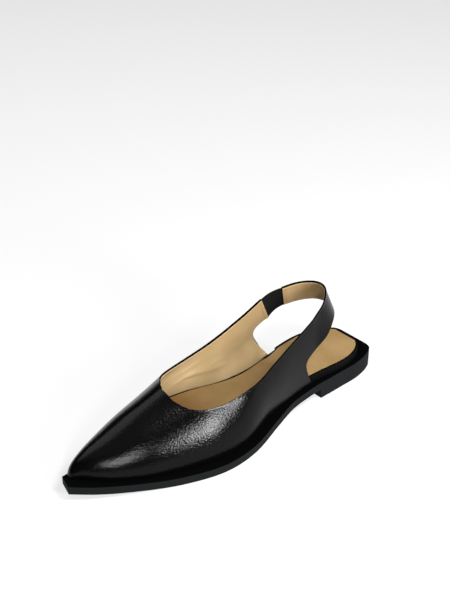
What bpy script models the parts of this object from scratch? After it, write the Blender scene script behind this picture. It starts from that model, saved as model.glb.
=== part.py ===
# Sling back flat, left shoe: a pointed leather upper cut low at the throat, whose lateral wing runs on
# as a strap round the heel to an elastic gore on the medial side, on a flat unit sole with a low heel.
# +X points to the toe, +Y to the wearer's left (the lateral side), +Z up, in metres.
import math

import bmesh
import bpy
import numpy as np

# Sole
length = 0.282
ball_width = 0.088
heel_width = 0.058
sole_thickness = 0.0063
heel_height = 0.0083
heel_length = 0.0665
toe_spring = 0.0060
sole_edge = 0.0005
breast_run = 0.0008

# Sole profile: shares of the length between which it lies flat, and how the toe spring gathers ahead of
# them; then the angle of the slanted end and the share of the length where the slant starts
flat_from_share = 0.60
flat_to_share = 0.66
spring_power = 2.2
tip_slant_angle = math.radians(16.0)
slant_from_share = 0.90

# Footbed
board_thickness = 0.0048
sock_thickness = 0.0012
sock_margin = 0.0020
seat_inset = 0.0089
board_toe_room = 0.0075
sock_toe_room = 0.0105

# Upper
wall = 0.0018
nose_inset = 0.0060
throat_setback = 0.0855
instep_height = 0.0460
undercut_height = 0.0300

# Strap and gore
strap_back = 0.0417
strap_reach = 0.0330
strap_half = 0.0245
strap_top = 0.0812
strap_width = 0.0165
gore_thickness = 0.0010
gore_margin = 0.0006
gore_bow = 0.0019

# Clearance between pieces that touch
gap = 0.0003

# Number of steps up the wall, over the toe, along each side, and along the sole, the footbed and the gore
wall_steps = 10
toe_steps = 16
side_steps = 16
sole_steps = 36
footbed_steps = 44
gore_steps = 8

# Outsole outline: share of the length, the width that the row follows, and the distance from the middle
# line to the lateral and the medial edge as shares of half that width
outline_rows = (
    (0.000, heel_width, 0.50, 0.48),
    (0.004, heel_width, 0.63, 0.62),
    (0.012, heel_width, 0.72, 0.72),
    (0.030, heel_width, 0.82, 0.84),
    (0.080, heel_width, 0.96, 0.96),
    (0.160, heel_width, 1.00, 0.98),
    (0.280, heel_width, 1.03, 0.83),
    (0.354, ball_width, 0.72, 0.51),
    (0.420, ball_width, 0.833, 0.56),
    (0.540, ball_width, 1.047, 0.86),
    (0.640, ball_width, 1.072, 0.98),
    (0.740, ball_width, 0.898, 0.93),
    (0.860, ball_width, 0.544, 0.66),
    (0.950, ball_width, 0.215, 0.39),
    (1.000, ball_width, -0.016, 0.305),
)

# Heel seat of the footbed: share of the length past the seat's back edge, lateral and medial distance
# from the middle line as shares of half the heel's width
seat_rows = (
    (0.000, 0.26, 0.23),
    (0.004, 0.38, 0.34),
    (0.011, 0.52, 0.47),
    (0.025, 0.66, 0.585),
    (0.048, 0.78, 0.70),
    (0.078, 0.86, 0.81),
    (0.117, 0.89, 0.87),
    (0.195, 0.845, 0.82),
    (0.262, 0.85, 0.70),
    (0.330, 1.00, 0.90),
    (0.420, 1.50, 1.40),
)

# Sections of the last: share of the length, then as shares of half the ball width the lateral and
# medial feather, the lateral and medial girth and the crest, then the crest's height as a share of the
# instep height, and the fullness of the lateral and the medial flank
last_rows = (
    (0.979, -0.205, 0.205, -0.205, 0.205, -0.205, 0.000, 2.00, 2.00),
    (0.968, -0.110, 0.326, -0.105, 0.336, -0.202, 0.155, 2.00, 2.00),
    (0.957, -0.060, 0.364, -0.050, 0.380, -0.198, 0.230, 1.95, 2.03),
    (0.930, 0.107, 0.435, 0.122, 0.457, -0.182, 0.353, 1.90, 2.02),
    (0.860, 0.402, 0.620, 0.423, 0.643, -0.148, 0.565, 1.80, 1.85),
    (0.798, 0.590, 0.751, 0.610, 0.770, -0.120, 0.751, 1.72, 1.73),
    (0.740, 0.718, 0.861, 0.741, 0.878, -0.100, 0.888, 1.66, 1.63),
    (0.691, 0.809, 0.903, 0.832, 0.920, -0.082, 0.998, 1.63, 1.67),
    (0.640, 0.882, 0.917, 0.905, 0.935, -0.068, 1.110, 1.63, 1.80),
    (0.540, 0.900, 0.809, 0.918, 0.875, -0.045, 1.340, 1.78, 2.10),
    (0.420, 0.702, 0.514, 0.727, 0.739, -0.022, 1.670, 2.50, 2.70),
    (0.340, 0.632, 0.460, 0.648, 0.680, 0.000, 1.900, 3.10, 3.10),
    (0.280, 0.602, 0.495, 0.614, 0.610, 0.000, 2.080, 3.30, 3.30),
    (0.213, 0.590, 0.560, 0.590, 0.575, 0.000, 2.250, 3.20, 3.20),
)

# Topline of each side: distance behind the throat as a share of the length, and its height up the
# section as a share of the crest's height there
lateral_topline_rows = (
    (0.0000, 1.000),
    (0.0010, 0.929),
    (0.0044, 0.896),
    (0.0106, 0.850),
    (0.0316, 0.748),
    (0.0601, 0.677),
    (0.1114, 0.616),
    (0.1886, 0.574),
    (0.2354, 0.550),
    (0.2856, 0.559),
    (0.3495, 0.572),
    (0.4100, 0.585),
    (0.4575, 0.610),
)
medial_topline_rows = (
    (0.0000, 1.000),
    (0.0010, 0.998),
    (0.0035, 0.995),
    (0.0075, 0.985),
    (0.0129, 0.962),
    (0.0233, 0.920),
    (0.0450, 0.822),
    (0.0692, 0.740),
    (0.0972, 0.686),
    (0.1298, 0.641),
    (0.1761, 0.590),
    (0.2201, 0.562),
    (0.2634, 0.556),
    (0.3081, 0.556),
    (0.3530, 0.563),
    (0.4100, 0.606),
    (0.4575, 0.640),
)

# Rear of each wing, from the joint with the sole up the cut-out: share of the length of the rib's top
# and of its bottom, and the bottom's height over the sole as a share of the instep height
lateral_wing_rows = (
    (0.405, 0.352, 0.000),
    (0.392, 0.318, 0.000),
    (0.380, 0.288, 0.000),
    (0.369, 0.262, 0.000),
    (0.355, 0.272, 0.115),
    (0.343, 0.281, 0.245),
    (0.331, 0.288, 0.365),
    (0.319, 0.2915, 0.455),
    (0.307, 0.2905, 0.525),
    (0.295, 0.284, 0.580),
    (0.283, 0.272, 0.630),
    (0.270, 0.256, 0.685),
)
medial_wing_rows = (
    (0.425, 0.350, 0.000),
    (0.412, 0.316, 0.000),
    (0.401, 0.286, 0.000),
    (0.391, 0.260, 0.000),
    (0.383, 0.271, 0.105),
    (0.374, 0.285, 0.220),
    (0.364, 0.297, 0.330),
    (0.354, 0.306, 0.430),
    (0.344, 0.3105, 0.515),
    (0.333, 0.3095, 0.600),
    (0.3225, 0.3045, 0.675),
    (0.314, 0.296, 0.720),
    (0.3055, 0.285, 0.758),
    (0.2975, 0.273, 0.784),
    (0.290, 0.260, 0.797),
)

# Strap, from the lateral wing round the heel to the gore: the top edge's distance ahead of the strap's
# back, to the side and up, as shares of its reach, half width and top height, then the bottom edge's
# shift back and out and the width, as shares of the strap's width
strap_rows = (
    (0.800, 0.945, 0.930, 0.32, 0.20, 1.36),
    (0.570, 0.835, 0.957, 0.40, 0.26, 1.14),
    (0.300, 0.605, 0.983, 0.40, 0.27, 1.04),
    (0.093, 0.335, 0.999, 0.34, 0.17, 1.03),
    (-0.010, 0.035, 1.000, 0.26, 0.07, 1.03),
    (0.010, -0.265, 0.992, 0.20, 0.05, 1.04),
    (0.130, -0.530, 0.977, 0.18, 0.04, 1.05),
    (0.340, -0.755, 0.958, 0.17, 0.05, 1.06),
    (0.630, -0.912, 0.936, 0.20, 0.05, 1.06),
)


def smooth_curve(stations, values, at):
    """Value at a place on the smooth cubic through the rows of a table."""
    x = np.asarray(stations, float)
    y = np.asarray(values, float)
    if x[0] > x[-1]:
        x = x[::-1]
        y = y[::-1]
    step = np.diff(x)
    rise = np.diff(y) / step
    slope = np.concatenate([rise[:1], rise])
    slope[1:-1] = (rise[:-1] * step[1:] + rise[1:] * step[:-1]) / (step[1:] + step[:-1])
    at = min(max(float(at), x[0]), x[-1])
    k = int(np.clip(np.searchsorted(x, at) - 1, 0, len(x) - 2))
    t = (at - x[k]) / step[k]
    start = (1 + 2 * t) * (1 - t) ** 2 * y[k] + t * (1 - t) ** 2 * step[k] * slope[k]
    end = t * t * (3 - 2 * t) * y[k + 1] + t * t * (t - 1) * step[k] * slope[k + 1]
    return float(start + end)


def ease(t):
    t = min(max(t, 0.0), 1.0)
    return t * t * (3 - 2 * t)


def column(rows, index):
    return [row[index] for row in rows]


# Sole

def sole_rise(x):
    """Height of the sole's underside, heel block left out."""
    spring = max(x / length - flat_to_share, 0.0) / (1 - flat_to_share)
    arch = (flat_from_share * length - x) / (flat_from_share * length - heel_length)
    return toe_spring * min(spring, 1.0) ** spring_power + heel_height * ease(arch)


def sole_top(x):
    return sole_rise(x) + sole_thickness


def outline(share):
    """Lateral and medial edge of the outsole at a share of its length."""
    shares = column(outline_rows, 0)
    lateral = [row[1] / 2 * row[2] for row in outline_rows]
    medial = [-row[1] / 2 * row[3] for row in outline_rows]
    return smooth_curve(shares, lateral, share), smooth_curve(shares, medial, share)


# Last

nose_x = length - nose_inset
throat_x = length - throat_setback
wing_end = last_rows[-1][0] * length


def last_value(index, x):
    """A column of the last's table, drawn against the root of the distance to the nose, so that it
    closes round."""
    half = ball_width / 2
    places = [math.sqrt(max((last_rows[0][0] - row[0]) * length, 0.0)) for row in last_rows]
    scale = {6: instep_height, 7: 1.0, 8: 1.0}.get(index, half)
    at = math.sqrt(max(nose_x - x, 0.0))
    return scale * smooth_curve(places, column(last_rows, index), at)


def flank(x, side):
    """Feather, girth, crest place, crest height and fullness on one side, +1 lateral or -1 medial."""
    first = 1 if side > 0 else 2
    feather = side * last_value(first, x)
    girth = side * last_value(first + 2, x)
    return feather, girth, last_value(5, x), last_value(6, x), last_value(7 if side > 0 else 8, x)


def undercut(height, crest, depth):
    """How far the flank pulls in under its girth towards the feather."""
    reach = min(undercut_height, 0.45 * crest)
    if reach <= 0:
        return 0.0
    return depth * max(1 - height / reach, 0.0) ** 2


def section_point(x, side, angle):
    """Point of the last at an angle from its crest (0) to its feather (a right angle)."""
    feather, girth, middle, crest, fullness = flank(x, side)
    height = crest * max(math.cos(angle), 0.0) ** (2 / fullness)
    y = middle + (girth - middle) * math.sin(angle) ** (2 / fullness)
    y -= undercut(height, crest, girth - feather)
    return np.array((x, y, sole_top(x) + gap + height))


def flank_y(x, side, height):
    """Where the last's side stands at a height over the sole."""
    feather, girth, middle, crest, fullness = flank(x, side)
    share = min(max(height / crest, 0.0), 1.0)
    y = middle + (girth - middle) * (1 - share ** fullness) ** (1 / fullness)
    return y - undercut(height, crest, girth - feather)


def topline_share(x, side):
    rows = lateral_topline_rows if side > 0 else medial_topline_rows
    places = [math.sqrt(row[0]) for row in rows]
    at = math.sqrt(max(throat_x - x, 0.0) / length)
    return smooth_curve(places, column(rows, 1), at)


def topline_point(x, side):
    height = last_value(6, x) * topline_share(x, side)
    return np.array((x, flank_y(x, side, height), sole_top(x) + gap + height))


def side_rib(x, side):
    """Points up one side from the feather to the topline."""
    fullness = flank(x, side)[4]
    top_angle = math.acos(min(topline_share(x, side) ** (fullness / 2), 1.0))
    angles = [math.pi / 2 + (top_angle - math.pi / 2) * k / wall_steps for k in range(wall_steps + 1)]
    return [section_point(x, side, angle) for angle in angles]


def wing_rib(row, side):
    """Points from the wing's lower or rear edge up to the topline."""
    top = topline_point(row[0] * length, side)
    foot_x = row[1] * length
    foot_height = row[2] * instep_height
    foot_z = sole_top(foot_x) + gap + foot_height
    points = []
    for k in range(wall_steps + 1):
        share = k / wall_steps
        x = foot_x + (top[0] - foot_x) * share
        z = foot_z + (top[2] - foot_z) * share
        points.append(np.array((x, flank_y(x, side, z - sole_top(x) - gap), z)))
    return points


def strap_rib(row):
    """Points across the strap from its bottom edge to its top edge."""
    top = np.array((strap_back + row[0] * strap_reach, row[1] * strap_half, row[2] * strap_top))
    side = 1 if row[1] > 0 else -1
    fall = np.array((-row[3], side * row[4], -1.0))
    bottom = top + fall / np.linalg.norm(fall) * row[5] * strap_width
    return [bottom + (top - bottom) * k / wall_steps for k in range(wall_steps + 1)]


def between(first, second, share):
    return [a + (b - a) * share for a, b in zip(first, second)]


# Mesh helpers

def shift_to_origin():
    """From the heel's back edge on the last's middle line to the middle of the outsole's box."""
    shares = np.linspace(0.0, 1.0, 401)
    edges = [outline(share) for share in shares]
    lateral = max(edge[0] for edge in edges)
    medial = min(edge[1] for edge in edges)
    return np.array((-length / 2, -(lateral + medial) / 2, 0.0))


origin_shift = shift_to_origin()


def finish(bm, name, material, sharp_angle):
    bmesh.ops.recalc_face_normals(bm, faces=bm.faces[:])
    bmesh.ops.translate(bm, verts=bm.verts[:], vec=origin_shift)
    mesh = bpy.data.meshes.new(name)
    bm.to_mesh(mesh)
    bm.free()
    mesh.shade_smooth()
    mesh.set_sharp_from_angle(angle=sharp_angle)
    mesh.materials.append(material)
    thing = bpy.data.objects.new(name, mesh)
    bpy.context.scene.collection.objects.link(thing)
    return thing


def loft(rings):
    """Closed body through rings of equally many points, capped at both ends."""
    bm = bmesh.new()
    loops = [[bm.verts.new(point) for point in ring] for ring in rings]
    count = len(loops[0])
    for first, second in zip(loops[:-1], loops[1:]):
        for k in range(count):
            bm.faces.new((first[k], first[(k + 1) % count], second[(k + 1) % count], second[k]))
    bm.faces.new(loops[0])
    bm.faces.new(loops[-1])
    return bm


def thicken(bm, thickness):
    """Gives a sheet a second face inside and closes its rim; the outer face stays where it is.
    The rim on the sole keeps its height."""
    bm.normal_update()
    outer = bm.verts[:]
    faces = bm.faces[:]
    rims = [edge for edge in bm.edges if len(edge.link_faces) == 1]
    inner = {}
    for vert in outer:
        inner[vert] = bm.verts.new(vert.co - vert.normal * thickness)
    for vert in {vert for edge in rims for vert in edge.verts}:
        if abs(vert.co.z - sole_top(vert.co.x) - gap) < gap / 10:
            inner[vert].co.z = sole_top(inner[vert].co.x) + gap
    for face in faces:
        bm.faces.new([inner[vert] for vert in reversed(face.verts)])
    for edge in rims:
        first, second = edge.verts
        bm.faces.new((second, first, inner[first], inner[second]))


# Materials

def material(name, colour, roughness, metallic=0.0):
    made = bpy.data.materials.new(name)
    made.use_nodes = True
    shader = made.node_tree.nodes["Principled BSDF"]
    shader.inputs["Base Color"].default_value = (*colour, 1.0)
    shader.inputs["Roughness"].default_value = roughness
    shader.inputs["Metallic"].default_value = metallic
    made.diffuse_color = (*colour, 1.0)
    return made


# Sub-parts

def sole_ring(share, bottom):
    """Section of the outsole with its four long edges broken; near the tip it turns with the slant."""
    lateral, medial = outline(share)
    slant = math.tan(tip_slant_angle) * ease((share - slant_from_share) / (1 - slant_from_share))
    middle = (lateral + medial) / 2
    ring = []
    corners = (
        (lateral - sole_edge, 0, 0), (lateral, 0, sole_edge), (lateral, 1, -sole_edge),
        (lateral - sole_edge, 1, 0), (middle, 1, 0), (medial + sole_edge, 1, 0),
        (medial, 1, -sole_edge), (medial, 0, sole_edge), (medial + sole_edge, 0, 0), (middle, 0, 0),
    )
    for y, upper_side, lift in corners:
        x = share * length - slant * (lateral - y)
        base = sole_top(x) if upper_side else bottom(x)
        ring.append((x, y, base + lift))
    return ring


def make_outsole(leather):
    heel_shares = [0, 0.004, 0.012, 0.03, 0.055, 0.08, 0.12, 0.16, 0.2]
    breast = heel_length / length
    front = breast + breast_run / length
    sole_shares = [front + (1 - front) * k / sole_steps for k in range(sole_steps + 1)]
    rings = [sole_ring(share, lambda x: 0.0) for share in heel_shares + [breast]]
    rings += [sole_ring(share, sole_rise) for share in sole_shares]
    return finish(loft(rings), "outsole", leather, math.radians(30))


def inner_edge(x, side, height):
    """Inside of the wall, less the clearance, at a height over the sole."""
    step = length / 1000
    run = (flank_y(x + step, side, height) - flank_y(x - step, side, height)) / (2 * step)
    climb = (flank_y(x, side, height + step) - flank_y(x, side, height)) / step
    return flank_y(x, side, height) - side * (wall + gap) * math.sqrt(1 + run * run + climb * climb)


def seat_edge(x, side):
    """Edge of the footbed in the heel, where no wall stands beside it."""
    places = [math.sqrt(row[0]) for row in seat_rows]
    at = math.sqrt(max(x - seat_inset, 0.0) / length)
    return side * heel_width / 2 * smooth_curve(places, column(seat_rows, 1 if side > 0 else 2), at)


def footbed_edge(x, side, low, high, margin):
    """Edge of a footbed layer: the seat's outline in the heel and the wall's inside ahead of it."""
    seat = seat_edge(x, side) - side * margin
    corner = min(row[1] for row in lateral_wing_rows + medial_wing_rows) * length
    if x < corner - 2 * wall:
        return seat
    inside = min(side * inner_edge(x, side, height) for height in (low, high)) - margin / 2
    if x > throat_x:
        return side * inside
    return side * min(side * seat, inside)


def make_footbed_layer(name, low, high, toe_room, margin, skin):
    """One layer of the footbed, between two heights over the sole's top."""
    back = seat_inset + margin
    front = nose_x - toe_room
    rings = []
    for k in range(footbed_steps + 1):
        share = k / footbed_steps
        x = back + (front - back) * share ** 1.35
        seat_x = seat_inset + (x - back) + margin * ease(share * 8)
        lateral = footbed_edge(max(x, seat_x), 1, low, high, margin)
        medial = footbed_edge(max(x, seat_x), -1, low, high, margin)
        middle = (lateral + medial) / 2
        base = sole_top(x)
        rings.append([
            (x, lateral, base + low), (x, lateral, base + high), (x, middle, base + high),
            (x, medial, base + high), (x, medial, base + low), (x, middle, base + low),
        ])
    return finish(loft(rings), name, skin, math.radians(40))


def make_upper(leather):
    bm = bmesh.new()
    vert = bm.verts.new

    def row(points):
        return [vert(point) for point in points]

    def join(first, second):
        for k in range(len(first) - 1):
            bm.faces.new((first[k], second[k], second[k + 1], first[k + 1]))

    # The toe: closed rows from the throat to the nose, medial feather over the crest to the lateral one
    toe_rows = []
    for k in range(toe_steps):
        x = nose_x - (nose_x - throat_x) * (1 - k / toe_steps) ** 2
        angles = [math.pi / 2 * (1 - j / wall_steps) for j in range(wall_steps + 1)]
        medial = [section_point(x, -1, angle) for angle in angles]
        lateral = [section_point(x, 1, angle) for angle in reversed(angles)]
        toe_rows.append(row(medial + lateral[1:]))
    for first, second in zip(toe_rows[:-1], toe_rows[1:]):
        join(second, first)
    nose = vert(section_point(nose_x, 1, math.pi / 2))
    for first, second in zip(toe_rows[-1][:-1], toe_rows[-1][1:]):
        bm.faces.new((first, second, nose))

    # The sides: ribs from the throat back to each wing, fanned round the cut-out
    for side, wing in ((1, lateral_wing_rows), (-1, medial_wing_rows)):
        throat_row = toe_rows[0][wall_steps:][::-1] if side > 0 else toe_rows[0][:wall_steps + 1]
        rib_row = throat_row
        run = throat_x - (wing[0][0] + 2 * (wing[0][0] - wing[1][0])) * length
        for k in range(1, side_steps + 1):
            x = throat_x - run * (k / side_steps) ** 2
            next_row = row(side_rib(x, side))
            join(rib_row, next_row) if side > 0 else join(next_row, rib_row)
            rib_row = next_row
        ribs = [wing_rib(wing_row, side) for wing_row in wing]
        if side > 0:
            ribs += [strap_rib(strap_row) for strap_row in strap_rows]
        for rib in ribs:
            next_row = row(rib)
            join(rib_row, next_row) if side > 0 else join(next_row, rib_row)
            rib_row = next_row
    bmesh.ops.recalc_face_normals(bm, faces=bm.faces[:])
    top = max(bm.faces, key=lambda face: face.normal.z * face.calc_area())
    if top.normal.z < 0:
        bmesh.ops.reverse_faces(bm, faces=bm.faces[:])
    thicken(bm, wall)
    return finish(bm, "upper", leather, math.radians(50))


def make_gore(elastic):
    """Elastic between the medial tab and the strap's end, thinner and narrower than the leather and
    bowed out a little between them."""
    tab = wing_rib(medial_wing_rows[-1], -1)
    end = strap_rib(strap_rows[-1])
    run = end[wall_steps // 2] - tab[wall_steps // 2]
    clear = 2 * gap / np.linalg.norm(run)
    outward = np.array((-run[1], run[0], 0.0)) / math.hypot(run[0], run[1])
    if outward[1] > 0:
        outward = -outward
    bm = bmesh.new()
    rows = []
    for k in range(gore_steps + 1):
        share = clear + (1 - 2 * clear) * k / gore_steps
        rib = between(tab, end, share)
        width = np.linalg.norm(rib[-1] - rib[0])
        margin = gore_margin / width
        bow = outward * gore_bow * 4 * share * (1 - share)
        points = []
        for j in range(wall_steps + 1):
            up = margin + (1 - 2 * margin) * j / wall_steps
            points.append(bm.verts.new(rib[0] + (rib[-1] - rib[0]) * up + bow))
        rows.append(points)
    for first, second in zip(rows[:-1], rows[1:]):
        for j in range(wall_steps):
            bm.faces.new((first[j], second[j], second[j + 1], first[j + 1]))
    bmesh.ops.recalc_face_normals(bm, faces=bm.faces[:])
    if bm.faces[0].normal.y > 0:
        bmesh.ops.reverse_faces(bm, faces=bm.faces[:])
    bm.normal_update()
    for v in bm.verts:
        v.co -= v.normal * (wall - gore_thickness) / 2
    thicken(bm, gore_thickness)
    return finish(bm, "elastic_gore", elastic, math.radians(40))


for old in list(bpy.data.objects):
    bpy.data.objects.remove(old, do_unlink=True)

black_leather = material("black_leather", (0.011, 0.011, 0.012), 0.35)
black_wrap = material("black_wrap", (0.012, 0.012, 0.012), 0.45)
tan_leather = material("tan_leather", (0.44, 0.27, 0.12), 0.6)
black_elastic = material("black_elastic", (0.006, 0.006, 0.006), 0.9)
sole_rubber = material("sole_rubber", (0.020, 0.021, 0.022), 0.6)

board_low = gap
board_high = board_low + board_thickness
sock_low = board_high + gap
sock_high = sock_low + sock_thickness

make_outsole(sole_rubber)
make_footbed_layer("insole_board", board_low, board_high, board_toe_room, 0.0, black_wrap)
make_footbed_layer("sock_lining", sock_low, sock_high, sock_toe_room, sock_margin, tan_leather)
make_upper(black_leather)
make_gore(black_elastic)
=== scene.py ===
import math

import bmesh
import bpy
import numpy as np
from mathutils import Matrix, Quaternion, Vector


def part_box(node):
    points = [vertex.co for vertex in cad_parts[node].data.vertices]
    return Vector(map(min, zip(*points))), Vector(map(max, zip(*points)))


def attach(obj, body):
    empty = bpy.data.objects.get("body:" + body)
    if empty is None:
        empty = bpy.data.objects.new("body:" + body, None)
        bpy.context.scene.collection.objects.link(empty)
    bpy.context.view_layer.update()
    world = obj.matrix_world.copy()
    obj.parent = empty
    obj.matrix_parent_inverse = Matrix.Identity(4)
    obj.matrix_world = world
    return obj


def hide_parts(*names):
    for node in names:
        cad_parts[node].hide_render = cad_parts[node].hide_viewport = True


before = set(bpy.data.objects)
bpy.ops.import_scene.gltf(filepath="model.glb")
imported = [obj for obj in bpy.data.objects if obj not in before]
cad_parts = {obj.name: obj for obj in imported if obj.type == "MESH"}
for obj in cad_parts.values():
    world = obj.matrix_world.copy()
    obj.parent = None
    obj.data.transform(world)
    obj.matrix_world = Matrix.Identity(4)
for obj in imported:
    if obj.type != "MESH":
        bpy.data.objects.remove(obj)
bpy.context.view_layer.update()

print("frame loaded:", ", ".join(sorted(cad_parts)))

# The shoe's own sizes, in metres from the heel's back edge along the middle line
shoe = {
    "ballWidth": 0.088,
    "heelWidth": 0.058,
    "soleThickness": 0.0063,
    "heelHeight": 0.0083,
    "heelLength": 0.0665,
    "toeSpring": 0.0060,
    "flatFrom": 0.60,       # shares of the length between which the sole lies flat
    "flatTo": 0.66,
    "springPower": 2.2,
    "noseInset": 0.0060,
    "throatSetback": 0.0855,
    "instepHeight": 0.0460,
    "undercutHeight": 0.0300,
    "undercutShare": 0.45,  # of the crest's height, which it stays under
    "seam": 0.0003,         # how far apart the pieces lie
}
soleLow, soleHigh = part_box("outsole")
length = soleHigh.x - soleLow.x
noseX = length - shoe["noseInset"]
throatX = length - shoe["throatSetback"]

# Outsole outline: share of the length, the width that the row follows, and the distance from the middle
# line to the lateral and the medial edge as shares of half that width
outlineRows = (
    (0.000, "heelWidth", 0.50, 0.48),
    (0.004, "heelWidth", 0.63, 0.62),
    (0.012, "heelWidth", 0.72, 0.72),
    (0.030, "heelWidth", 0.82, 0.84),
    (0.080, "heelWidth", 0.96, 0.96),
    (0.160, "heelWidth", 1.00, 0.98),
    (0.280, "heelWidth", 1.03, 0.83),
    (0.354, "ballWidth", 0.72, 0.51),
    (0.420, "ballWidth", 0.833, 0.56),
    (0.540, "ballWidth", 1.047, 0.86),
    (0.640, "ballWidth", 1.072, 0.98),
    (0.740, "ballWidth", 0.898, 0.93),
    (0.860, "ballWidth", 0.544, 0.66),
    (0.950, "ballWidth", 0.215, 0.39),
    (1.000, "ballWidth", -0.016, 0.305),
)

# Sections of the last: share of the length, then as shares of half the ball width the lateral and medial
# feather, the lateral and medial girth and the crest, then the crest's height as a share of the instep
# height, and the fullness of the lateral and the medial flank
lastRows = (
    (0.979, -0.205, 0.205, -0.205, 0.205, -0.205, 0.000, 2.00, 2.00),
    (0.968, -0.110, 0.326, -0.105, 0.336, -0.202, 0.155, 2.00, 2.00),
    (0.957, -0.060, 0.364, -0.050, 0.380, -0.198, 0.230, 1.95, 2.03),
    (0.930, 0.107, 0.435, 0.122, 0.457, -0.182, 0.353, 1.90, 2.02),
    (0.860, 0.402, 0.620, 0.423, 0.643, -0.148, 0.565, 1.80, 1.85),
    (0.798, 0.590, 0.751, 0.610, 0.770, -0.120, 0.751, 1.72, 1.73),
    (0.740, 0.718, 0.861, 0.741, 0.878, -0.100, 0.888, 1.66, 1.63),
    (0.691, 0.809, 0.903, 0.832, 0.920, -0.082, 0.998, 1.63, 1.67),
    (0.640, 0.882, 0.917, 0.905, 0.935, -0.068, 1.110, 1.63, 1.80),
    (0.540, 0.900, 0.809, 0.918, 0.875, -0.045, 1.340, 1.78, 2.10),
    (0.420, 0.702, 0.514, 0.727, 0.739, -0.022, 1.670, 2.50, 2.70),
    (0.340, 0.632, 0.460, 0.648, 0.680, 0.000, 1.900, 3.10, 3.10),
    (0.280, 0.602, 0.495, 0.614, 0.610, 0.000, 2.080, 3.30, 3.30),
    (0.213, 0.590, 0.560, 0.590, 0.575, 0.000, 2.250, 3.20, 3.20),
)


def cubic(t, run, start, end, startSlope, endSlope):
    # From one row to the next, at the share t of the run between them
    value = (1 + 2 * t) * (1 - t) ** 2 * start + t * (1 - t) ** 2 * run * startSlope
    return value + t * t * (3 - 2 * t) * end + t * t * (t - 1) * run * endSlope


def curveThrough(places, values):
    # Smooth cubic through the rows of a table
    x = np.asarray(places, float)
    y = np.asarray(values, float)
    step = np.diff(x)
    rise = np.diff(y) / step
    slope = np.concatenate([rise[:1], rise])
    slope[1:-1] = (rise[:-1] * step[1:] + rise[1:] * step[:-1]) / (step[1:] + step[:-1])

    def valueAt(place):
        at = np.clip(np.asarray(place, float), x[0], x[-1])
        k = np.clip(np.searchsorted(x, at) - 1, 0, len(x) - 2)
        return cubic((at - x[k]) / step[k], step[k], y[k], y[k + 1], slope[k], slope[k + 1])

    return valueAt


def ease(t):
    t = np.clip(t, 0.0, 1.0)
    return t * t * (3 - 2 * t)


def column(rows, index):
    return [row[index] for row in rows]


def soleRise(x):
    # Height of the sole's underside, with the heel block left out
    spring = np.clip((x / length - shoe["flatTo"]) / (1 - shoe["flatTo"]), 0.0, 1.0)
    flatX = shoe["flatFrom"] * length
    arch = (flatX - x) / (flatX - shoe["heelLength"])
    return shoe["toeSpring"] * spring ** shoe["springPower"] + shoe["heelHeight"] * ease(arch)


def soleTop(x):
    return soleRise(x) + shoe["soleThickness"]


outlineLateral = curveThrough(column(outlineRows, 0), [shoe[r[1]] / 2 * r[2] for r in outlineRows])
outlineMedial = curveThrough(column(outlineRows, 0), [-shoe[r[1]] / 2 * r[3] for r in outlineRows])

# From the middle line at the heel's back edge to the frame's origin
toFrame = np.array((soleLow.x, soleHigh.y - float(outlineLateral(np.linspace(0, 1, 401)).max()), 0.0))

# The last's columns are drawn against the root of the distance to the nose, so that it closes round
rootPlaces = [math.sqrt((lastRows[0][0] - row[0]) * length) for row in lastRows]
halfBall = shoe["ballWidth"] / 2
lastCurves = {
    "lateralFeather": curveThrough(rootPlaces, [halfBall * v for v in column(lastRows, 1)]),
    "medialFeather": curveThrough(rootPlaces, [-halfBall * v for v in column(lastRows, 2)]),
    "lateralGirth": curveThrough(rootPlaces, [halfBall * v for v in column(lastRows, 3)]),
    "medialGirth": curveThrough(rootPlaces, [-halfBall * v for v in column(lastRows, 4)]),
    "middle": curveThrough(rootPlaces, [halfBall * v for v in column(lastRows, 5)]),
    "crest": curveThrough(rootPlaces, [shoe["instepHeight"] * v for v in column(lastRows, 6)]),
    "lateralFullness": curveThrough(rootPlaces, column(lastRows, 7)),
    "medialFullness": curveThrough(rootPlaces, column(lastRows, 8)),
}


def flank(x, side):
    # Feather, girth, crest place, crest height and fullness; side is 1 lateral and -1 medial
    root = np.sqrt(np.maximum(noseX - x, 0.0))
    feather = np.where(side > 0, lastCurves["lateralFeather"](root), lastCurves["medialFeather"](root))
    girth = np.where(side > 0, lastCurves["lateralGirth"](root), lastCurves["medialGirth"](root))
    full = np.where(side > 0, lastCurves["lateralFullness"](root), lastCurves["medialFullness"](root))
    return feather, girth, lastCurves["middle"](root), lastCurves["crest"](root), full


def undercut(height, crest, depth):
    # How far the flank pulls in under its girth towards the feather
    reach = np.maximum(np.minimum(shoe["undercutHeight"], shoe["undercutShare"] * crest), 1e-6)
    return depth * np.maximum(1 - height / reach, 0.0) ** 2


def lastPoint(x, side, angle):
    # Point of the last at an angle from its crest (0) down to its feather (a right angle)
    feather, girth, middle, crest, full = flank(x, side)
    height = crest * np.maximum(np.cos(angle), 0.0) ** (2 / full)
    y = middle + (girth - middle) * np.sin(angle) ** (2 / full)
    y = y - undercut(height, crest, girth - feather)
    return np.stack([x, y, soleTop(x) + shoe["seam"] + height], axis=-1)


def flankY(x, side, height):
    # Where the last's side stands at a height over the sole
    feather, girth, middle, crest, full = flank(x, side)
    share = np.clip(height / np.maximum(crest, 1e-6), 0.0, 1.0)
    y = middle + (girth - middle) * (1 - share ** full) ** (1 / full)
    return y - undercut(height, crest, girth - feather)


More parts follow.
